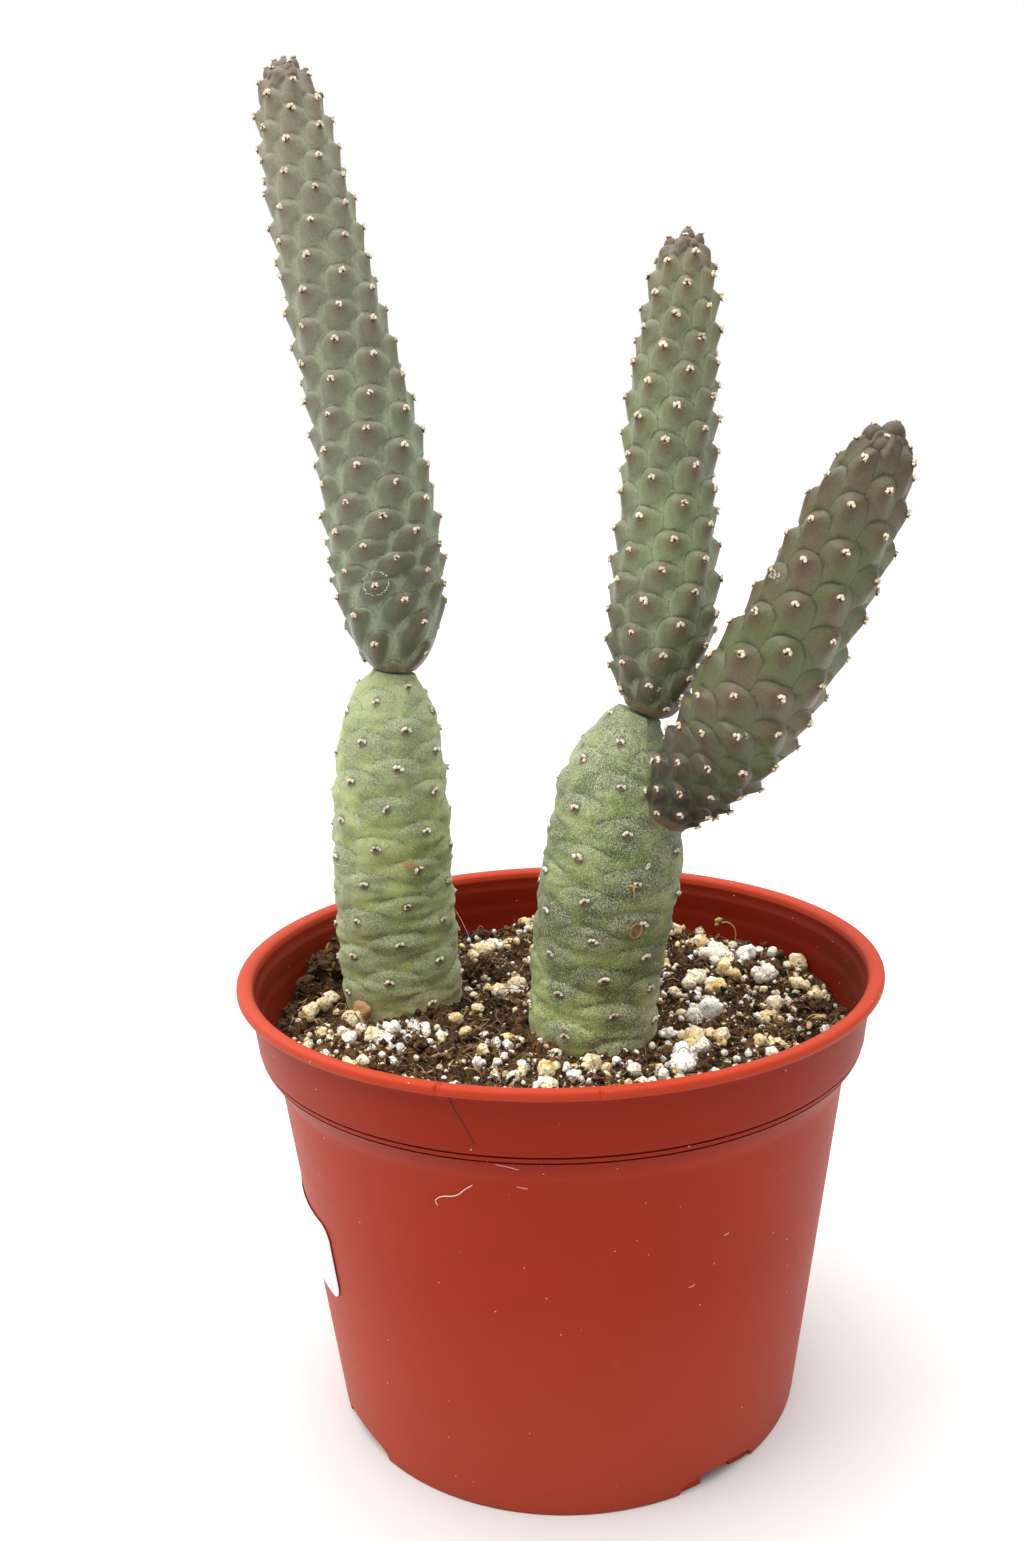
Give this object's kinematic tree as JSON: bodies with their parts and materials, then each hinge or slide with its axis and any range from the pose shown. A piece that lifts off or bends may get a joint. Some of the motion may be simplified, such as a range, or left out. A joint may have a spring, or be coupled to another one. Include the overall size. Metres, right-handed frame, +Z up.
{
  "type": "potted pinecone cactus",
  "caption": "Jointed pinecone cactus plants with spiral tubercles, standing in peat and perlite in a round thin-walled nursery pot with a wide rim.",
  "frame": {"origin": "the middle of the pot's flat underside, on the surface that the pot stands on", "axes": "+Z up along the pot's axis, +X to the right and -Y towards the front, as in the pictured view"},
  "size_m": [0.165, 0.165, 0.3397],
  "materials": {
    "pot": "satin injection-moulded terracotta-red polypropylene",
    "soil": "loose dark brown peat with white and cream perlite grains",
    "label": "blank matt white self-adhesive paper",
    "old_stem": "matt old cactus skin, yellow-green under grey scurf",
    "young_stem": "waxy grey-green cactus skin, brown-purple on the tubercles"
  },
  "bodies": {
    "root": {"pot": "pot", "soil": "soil", "label": "label", "left_lower_segment": "old_stem", "left_upper_segment": "young_stem", "right_lower_segment": "old_stem", "right_upper_segment": "young_stem", "right_side_segment": "young_stem"}
  },
  "joints": []
}
